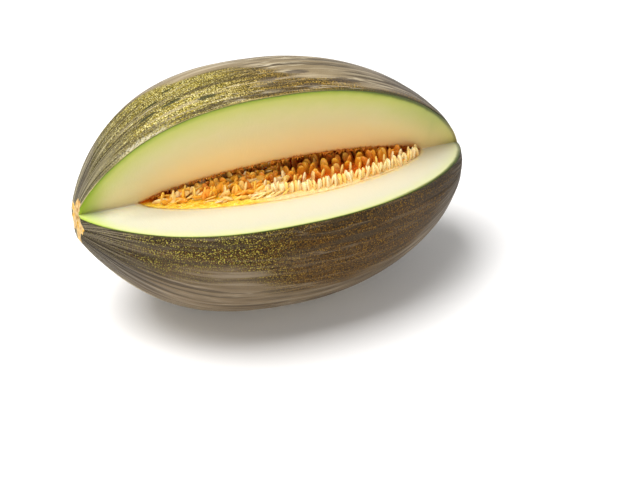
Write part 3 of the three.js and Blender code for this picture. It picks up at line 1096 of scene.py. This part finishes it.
rise = (0.0011 * lumps + 0.0007 * (1 - np.abs(strand_noise) * 2) + 0.0003 * fine_lumps) * wet_band
from_tips = np.minimum(pulp_x - pulp_start, pulp_end - pulp_x)
rise = np.where(open_side, rise, 0) * smooth_step(0, 0.012, from_tips)[:, None]
right_part = smooth_step(-0.012, 0.012, pulp_x)[:, None]
rise = rise + 0.0014 * right_part * np.exp(-(past_teeth / 0.3) ** 2) * open_side
pulp_out = pulp_out + rise * normal_out
pulp_up = pulp_up + rise * normal_up
pulp_out[:, -1], pulp_up[:, -1] = pulp_out[:, 0], pulp_up[:, 0]
print("lumps stand up to", round(1000 * float(rise.max()), 2), "mm proud")

# %% Pulp: mesh
for end in (0, -1):
    pulp_out[end], pulp_up[end] = apex_out, apex_up
pulp_local = np.stack([station_grid, -pulp_out, pulp_up, np.ones_like(pulp_out)], axis=2).reshape(-1, 4)
pulp_places = (pulp_local @ np.array(cut_fruit).T)[:, :3]
bm, order = grid_from(pulp_stations, pulp_columns)
for vertex, place_index in zip(bm.verts, order):
    vertex.co = pulp_places[place_index]
for face in bm.faces:
    face.smooth = True
pulp_mesh = bpy.data.meshes.new("pulp")
bm.to_mesh(pulp_mesh)
bm.free()
give_value(pulp_mesh, "past_teeth", np.clip(past_teeth, -3, 1).ravel()[order])
give_value(pulp_mesh, "left_part", np.broadcast_to(left_part, pulp_out.shape).ravel()[order])
give_value(pulp_mesh, "lumps", (lumps * 0.5 + 0.5).ravel()[order])
pulp_piece = finished(pulp_mesh, "pulp", 2e-6)
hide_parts("seed_pulp")
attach(pulp_piece, "root")

# %% [markdown]
# Pulp and seeds share one effect: juice. It lies unevenly, so the gloss comes and goes over a
# millimetre or two, and it tints what it wets. It is a node group with named inputs, so that
# each material sets its own amounts.

# %% Juice group
def start_group(name, inputs, outputs):
    """A node group with named inputs (kind, default) and outputs, and its two end nodes."""
    group = bpy.data.node_groups.new(name, "ShaderNodeTree")
    for label, (kind, value) in inputs.items():
        socket = group.interface.new_socket(label, in_out="INPUT", socket_type=kind)
        if value is not None:
            socket.default_value = value
    for label, kind in outputs.items():
        group.interface.new_socket(label, in_out="OUTPUT", socket_type=kind)
    return group, group.nodes.new("NodeGroupInput"), group.nodes.new("NodeGroupOutput")


juice, ins, outs = start_group(
    "juice",
    {
        "Colour": ("NodeSocketColor", (1, 1, 1, 1)),
        "Tint": ("NodeSocketColor", (1, 0.5, 0.1, 1)),
        "Tint amount": ("NodeSocketFloat", 0.5),
        "Drop size": ("NodeSocketFloat", 0.003),
        "Driest": ("NodeSocketFloat", 0.5),
    },
    {"Colour": "NodeSocketColor", "Roughness": "NodeSocketFloat", "Height": "NodeSocketFloat"},
)
where = add(juice, "ShaderNodeTexCoord").outputs["Object"]
per_metre = maths(juice, "DIVIDE", 1.0, ins.outputs["Drop size"])
film = cloudy(juice, where, per_metre, 3.0, 0.6)
wet_here = stepped(juice, film, 0.36, 0.6)
tint_here = times(juice, wet_here, ins.outputs["Tint amount"])
tinted = mixed(juice, tint_here, ins.outputs["Colour"], ins.outputs["Tint"])
dryness = times(juice, minus(juice, 1.0, wet_here), ins.outputs["Driest"])
juice.links.new(tinted, outs.inputs["Colour"])
juice.links.new(plus(juice, dryness, 0.12), outs.inputs["Roughness"])
juice.links.new(film, outs.inputs["Height"])


def juicy(tree, shader, colour, tint, tint_amount, drop_size, driest):
    """Wets a colour with juice, joins it to the shader, and gives the film's height."""
    wet = add(tree, "ShaderNodeGroup", {
        "Colour": colour, "Tint": linear(*tint), "Tint amount": tint_amount,
        "Drop size": drop_size, "Driest": driest,
    }, node_tree=juice)
    fed(tree, shader, "Base Color", wet.outputs["Colour"])
    fed(tree, shader, "Roughness", wet.outputs["Roughness"])
    return wet.outputs["Height"]


print("juice group has", len(juice.nodes), "nodes")

# %% [markdown]
# The pulp is deep orange at the back and between the seeds, and pale where it meets the flesh.
# On the stem side a band of it lies bare, bright yellow and drawn into strands. The mesh tells
# the material how far past the front row of seeds a point lies, and a noise frays that border.

# %% Pulp material
pulp_finish, tree, shader = start_material("pulp", 0.3)
place = add(tree, "ShaderNodeTexCoord").outputs["Object"]
teeth_gap = stored(tree, "past_teeth").outputs["Fac"]
left_here = stored(tree, "left_part").outputs["Fac"]
lumps_here = stored(tree, "lumps").outputs["Fac"]
ragged = wobbling(tree, cloudy(tree, place, 330.0, 4, 0.65), 0.9)
gap = plus(tree, teeth_gap, ragged)
level = ramped(tree, times(tree, plus(tree, gap, 1.0), 0.5), [
    (0.3, (226, 104, 10)),
    (0.5, (246, 144, 20)),
    (0.58, (250, 176, 56)),
    (0.67, (252, 214, 138)),
    (0.86, (240, 220, 170)),
])
strands = cloudy(tree, place, (120, 640, 640), 4, 0.65)
yellow = mixed(tree, stepped(tree, strands, 0.36, 0.62), (255, 186, 0), (255, 228, 80))
pale_flecks = stepped(tree, cloudy(tree, place, 420.0, 3, 0.6), 0.6, 0.72)
yellow = mixed(tree, pale_flecks, yellow, (255, 240, 186))
in_band = times(tree, left_here, stepped(tree, gap, -0.9, -0.2))
pulp_colour = mixed(tree, times(tree, in_band, 0.9), level, yellow)
# Painted shade: the low spots between the stored lumps are painted a darker orange.
painted_hollow_shade = times(tree, stepped(tree, lumps_here, 0.45, 0.2), 0.3)
pulp_colour = mixed(tree, painted_hollow_shade, pulp_colour, (214, 110, 20))
film_height = juicy(
    tree, shader, pulp_colour, (250, 176, 30), tint_amount=0.2, drop_size=0.0035, driest=0.35,
)
bumpy(tree, shader, plus(tree, strands, film_height), 0.0008, 0.8)
shader.inputs["Specular IOR Level"].default_value = 0.3
soft_inside(shader, 0.35, (1.0, 0.6, 0.2), 0.003)
pulp_piece.data.materials.append(pulp_finish)
print("pulp material has", len(tree.nodes), "nodes")

# %% [markdown]
# A melon seed is a flat drop with a blunt outer end. It is made from a ball: drawn out,
# narrowed towards its pointed end, and flattened so that its margin stays thick. Hundreds are
# needed, so one seed is made once, with few faces, and copied. Each seed of the solid model
# gets such a seed in its own place: the long, wide and thin directions of its points say how
# it stands.

# %% One seed
seed_length, seed_width, seed_thickness = 0.0114, 0.0050, 0.0022


def blunted(y, bluntness):
    """How much wider the seed is than a plain oval at a share y of its half length."""
    oval = math.sqrt(max(1e-6, 1 - y * y))
    return min(1.8, math.sqrt(max(0, 1 - abs(y) ** bluntness)) / oval)


def one_seed(across, along_rows, bluntness):
    """The mesh of one seed at the origin, with its pointed end at -Y; 2 is a plain oval."""
    made = bmesh.new()
    points = bmesh.ops.create_uvsphere(made, u_segments=across, v_segments=along_rows, radius=0.5)["verts"]
    bmesh.ops.rotate(made, verts=points, matrix=Matrix.Rotation(math.radians(90), 3, "X"))
    for point in points:
        x, y, z = point.co * 2
        narrowing = (1 - 0.45 * max(0, -y) ** 2) * blunted(y, bluntness)
        margin = 1 - 0.25 * (1 - abs(x)) * (1 - y * y)
        point.co = Vector((
            x * narrowing * seed_width / 2,
            y * seed_length / 2,
            z * narrowing * margin * seed_thickness / 2,
        ))
    for face in made.faces:
        face.smooth = True
    mesh = bpy.data.meshes.new("one seed")
    made.to_mesh(mesh)
    made.free()
    for name in ("tone", "chance"):
        mesh.attributes.new(name, "FLOAT", "POINT")
    return mesh


def standing(node):
    """The matrix of a seed of the solid model, from the spread of its points."""
    points = np.unique(np.round(np.array([v.co for v in node.data.vertices]), 6), axis=0)
    middle = points.mean(0)
    _, _, axes = np.linalg.svd(points - middle)
    long_way = axes[0] if axes[0][2] > 0 else -axes[0]
    thin_way = axes[2]
    wide_way = np.cross(long_way, thin_way)
    turned = Matrix(np.stack([wide_way, long_way, thin_way], axis=1).tolist()).to_4x4()
    reach = (points - middle) @ long_way
    middle = middle + long_way * (reach.max() + reach.min()) / 2
    return Matrix.Translation(Vector(middle.tolist())) @ turned


seed_nodes = sorted(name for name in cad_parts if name.startswith("seed_") and name != "seed_pulp")
print(len(seed_nodes), "seeds in the solid model")

# %% Seeds of the solid model
chance = random.Random(7)


def seed_piece(name, placed, across, along_rows, bluntness):
    """One piece from a list of (matrix, tone, replaced node or None)."""
    made = bmesh.new()
    template = one_seed(across, along_rows, bluntness)
    for matrix, tone, _ in placed:
        own = template.copy()
        own.transform(matrix)
        for label, value in (("tone", tone), ("chance", chance.random())):
            own.attributes[label].data.foreach_set("value", [value] * len(own.vertices))
        made.from_mesh(own)
        bpy.data.meshes.remove(own)
    bpy.data.meshes.remove(template)
    mesh = bpy.data.meshes.new(name)
    made.to_mesh(mesh)
    made.free()
    piece = finished(mesh, name, 1e-7)
    stood_for = [node for _, _, node in placed if node]
    if stood_for:
        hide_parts(*stood_for)
    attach(piece, "root")
    return piece


rows = {"front_seeds": seed_nodes[:27], "middle_seeds": seed_nodes[27:44], "back_seeds": seed_nodes[44:]}
# Rows further back get darker, more orange tones: partly the juice on them, partly painted shade.
row_juice_and_shade_tones = {"front_seeds": (0.0, 0.35), "middle_seeds": (0.35, 0.8), "back_seeds": (0.65, 1.0)}
stem_side_tones = (0.2, 0.6)


def tone_of(matrix, tones):
    """A tone for a seed: from its row's range, but yellower on the stem side."""
    return chance.uniform(*(stem_side_tones if matrix.translation.x < -0.02 else tones))


seed_pieces = []
for name, nodes in rows.items():
    placed = [(standing(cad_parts[node]), node) for node in nodes]
    seed_pieces.append(seed_piece(
        name, [(matrix, tone_of(matrix, row_juice_and_shade_tones[name]), node) for matrix, node in placed], 14, 12, 2.6,
    ))

# %% [markdown]
# The real fruit holds several hundred seeds. More of them fill the rows: a dense row of blunt
# teeth in front on the blossom side, a jumble on the stem side, where many lie flat, and a
# crowd in the shade at the back. Their places and turns come from a fixed chain of chance.

# %% Places for more seeds
def seed_at(x, distance, height, lean, turn, tip):
    """The matrix of a seed by its place over the lower face and three turns in degrees."""
    out, up = over_lower_face(distance, height)
    turned = (
        Matrix.Rotation(math.radians(tip), 4, "Y")
        @ Matrix.Rotation(math.radians(90 + lean), 4, "X")
        @ Matrix.Rotation(math.radians(turn), 4, "Y")
    )
    return cut_fruit @ Matrix.Translation((x, -out, up)) @ turned


def rim_at(x):
    """The distance of the cavity's front rim from the apex line."""
    return float(np.interp(x, pulp_x, rim))


def fits(x, distance, height, clearance):
    """Whether a place over the lower face is inside the cavity, that far from its wall."""
    out, up = over_lower_face(distance, height)
    return float(cavity_radius(x, math.atan2(up, out))) - math.hypot(out, up) > clearance


print("the cavity's front rim is", round(1000 * rim_at(0.0), 1), "mm out at the middle")

# %% More seeds
teeth = []
lying_seeds, shaded_seeds = 130, 150
x = -0.012
while x < pulp_end - 0.004:
    share = float(np.interp(x, [-0.01, 0.02, 0.09], [0.64, 0.84, 0.86]))
    teeth.append((seed_at(
        x, rim_at(x) * share + chance.uniform(-0.0016, 0.0010), chance.uniform(0.0004, 0.0020),
        lean=chance.uniform(-4, 14), turn=chance.uniform(40, 110), tip=chance.uniform(-22, 6),
    ), chance.uniform(0.0, 0.18), None))
    x += chance.uniform(0.0013, 0.0018)
teeth_piece = seed_piece("teeth", teeth, 8, 8, 3.4)
more = []
for _ in range(lying_seeds):
    x = chance.uniform(-0.079, 0.004)
    distance = rim_at(x) * chance.uniform(-0.25, 0.58)
    height = chance.uniform(0.0008, 0.0022) + 0.0056 * max(0, 0.6 - distance / rim_at(x))
    if fits(x, distance, height, clearance=0.0026):
        more.append((seed_at(
            x, distance, height,
            lean=chance.uniform(-30, 30), turn=chance.uniform(-45, 45), tip=chance.gauss(62, 30),
        ) @ Matrix.Scale(chance.uniform(0.75, 1.0), 4), chance.uniform(0.05, 0.7), None))
# The shaded crowd gets darker tones: partly juice, partly painted shade.
for _ in range(shaded_seeds):
    x = chance.uniform(-0.05, 0.09)
    distance = chance.uniform(-0.0115, 0.55 * rim_at(x))
    height = chance.uniform(0.001, 0.003) + 0.0035 * max(0, 0.5 - distance / rim_at(x))
    if fits(x, distance, height, clearance=0.003):
        more.append((seed_at(
            x, distance, height,
            lean=chance.uniform(-20, 25), turn=chance.uniform(-50, 60), tip=chance.uniform(-34, 8),
        ), chance.uniform(0.3, 0.95), None))
more_seeds = seed_piece("more_seeds", more, 8, 6, 2.2)
print(len(teeth), "teeth and", len(more), "more seeds")

# %% [markdown]
# Torn strands of pulp hang from the upper rim like short grass, and pale ones lie among the
# seeds in the middle. Each strand is a seed shape drawn out thin.

# %% Torn strands
def upper_rim_at(x):
    """(out, up) of the cavity's upper rim at a station."""
    far = float(rim_distance(np.array([x]), upper_face_angle)[0])
    return apex_out + far * math.cos(upper_face_angle), apex_up + far * math.sin(upper_face_angle)


def thinned(length, thickness):
    """The scale that turns a seed into a strand of that length and thickness."""
    return Matrix.Diagonal((thickness / seed_width, length / seed_length, thickness / seed_thickness, 1))


hanging_strands, lying_strands = 150, 60
strands_placed = []
for _ in range(hanging_strands):
    x = chance.uniform(-0.078, 0.094)
    out, up = upper_rim_at(x)
    hang = Matrix.Rotation(math.radians(90 + chance.uniform(-20, 40)), 4, "X")
    sway = Matrix.Rotation(math.radians(chance.gauss(0, 35)), 4, "Y")
    root_out = out + chance.uniform(-0.0006, 0.0004)
    root_up = up - chance.uniform(0.0002, 0.0012)
    size = thinned(chance.uniform(0.0018, 0.0042), chance.uniform(0.0005, 0.0009))
    matrix = cut_fruit @ Matrix.Translation((x, -root_out, root_up)) @ sway @ hang @ size
    strands_placed.append((matrix, chance.uniform(0.75, 1.1), None))
for _ in range(lying_strands):
    x = chance.gauss(-0.012, 0.014)
    distance = rim_at(x) * chance.uniform(0.42, 0.84)
    matrix = seed_at(
        x, distance, chance.uniform(0.0002, 0.0022),
        lean=chance.uniform(-20, 20), turn=chance.uniform(0, 180), tip=chance.gauss(80, 18),
    )
    size = thinned(chance.uniform(0.004, 0.009), chance.uniform(0.0012, 0.0026))
    strands_placed.append((matrix @ size, chance.uniform(0.05, 0.3), None))
strands_piece = seed_piece("torn_strands", strands_placed, 6, 5, 2.2)
print(len(strands_placed), "strands")

# %% [markdown]
# Fresh seeds run from pale cream in front to deep orange at the back, where more juice clings
# to them; the darker tones of the back rows are also painted shade. Each seed stores its row's
# tone and a number of its own, so one material colours all of them and no two neighbours match.

# %% Seed material
seed_finish, tree, shader = start_material("seed", 0.35)
place = add(tree, "ShaderNodeTexCoord").outputs["Object"]
tone = stored(tree, "tone").outputs["Fac"]
own = stored(tree, "chance").outputs["Fac"]
seed_colour = ramped(tree, plus(tree, tone, wobbling(tree, own, 0.2)), [
    (0.0, (255, 240, 196)),
    (0.25, (255, 218, 118)),
    (0.5, (255, 190, 56)),
    (0.75, (244, 160, 56)),
    (1.0, (206, 116, 40)),
])
mottle = cloudy(tree, place, 900.0, 3, 0.6)
blotches = times(tree, stepped(tree, mottle, 0.52, 0.7), 0.25)
seed_colour = mixed(tree, blotches, seed_colour, (244, 168, 60))
film_height = juicy(
    tree, shader, seed_colour, (246, 172, 50), tint_amount=0.25, drop_size=0.0025, driest=0.35,
)
bumpy(tree, shader, plus(tree, mottle, film_height), 0.0003, 0.6)
shader.inputs["Specular IOR Level"].default_value = 0.35
soft_inside(shader, 0.2, (1.0, 0.7, 0.4), 0.0015)
for piece in (*seed_pieces, teeth_piece, more_seeds, strands_piece):
    piece.data.materials.append(seed_finish)
print("seed material has", len(tree.nodes), "nodes")
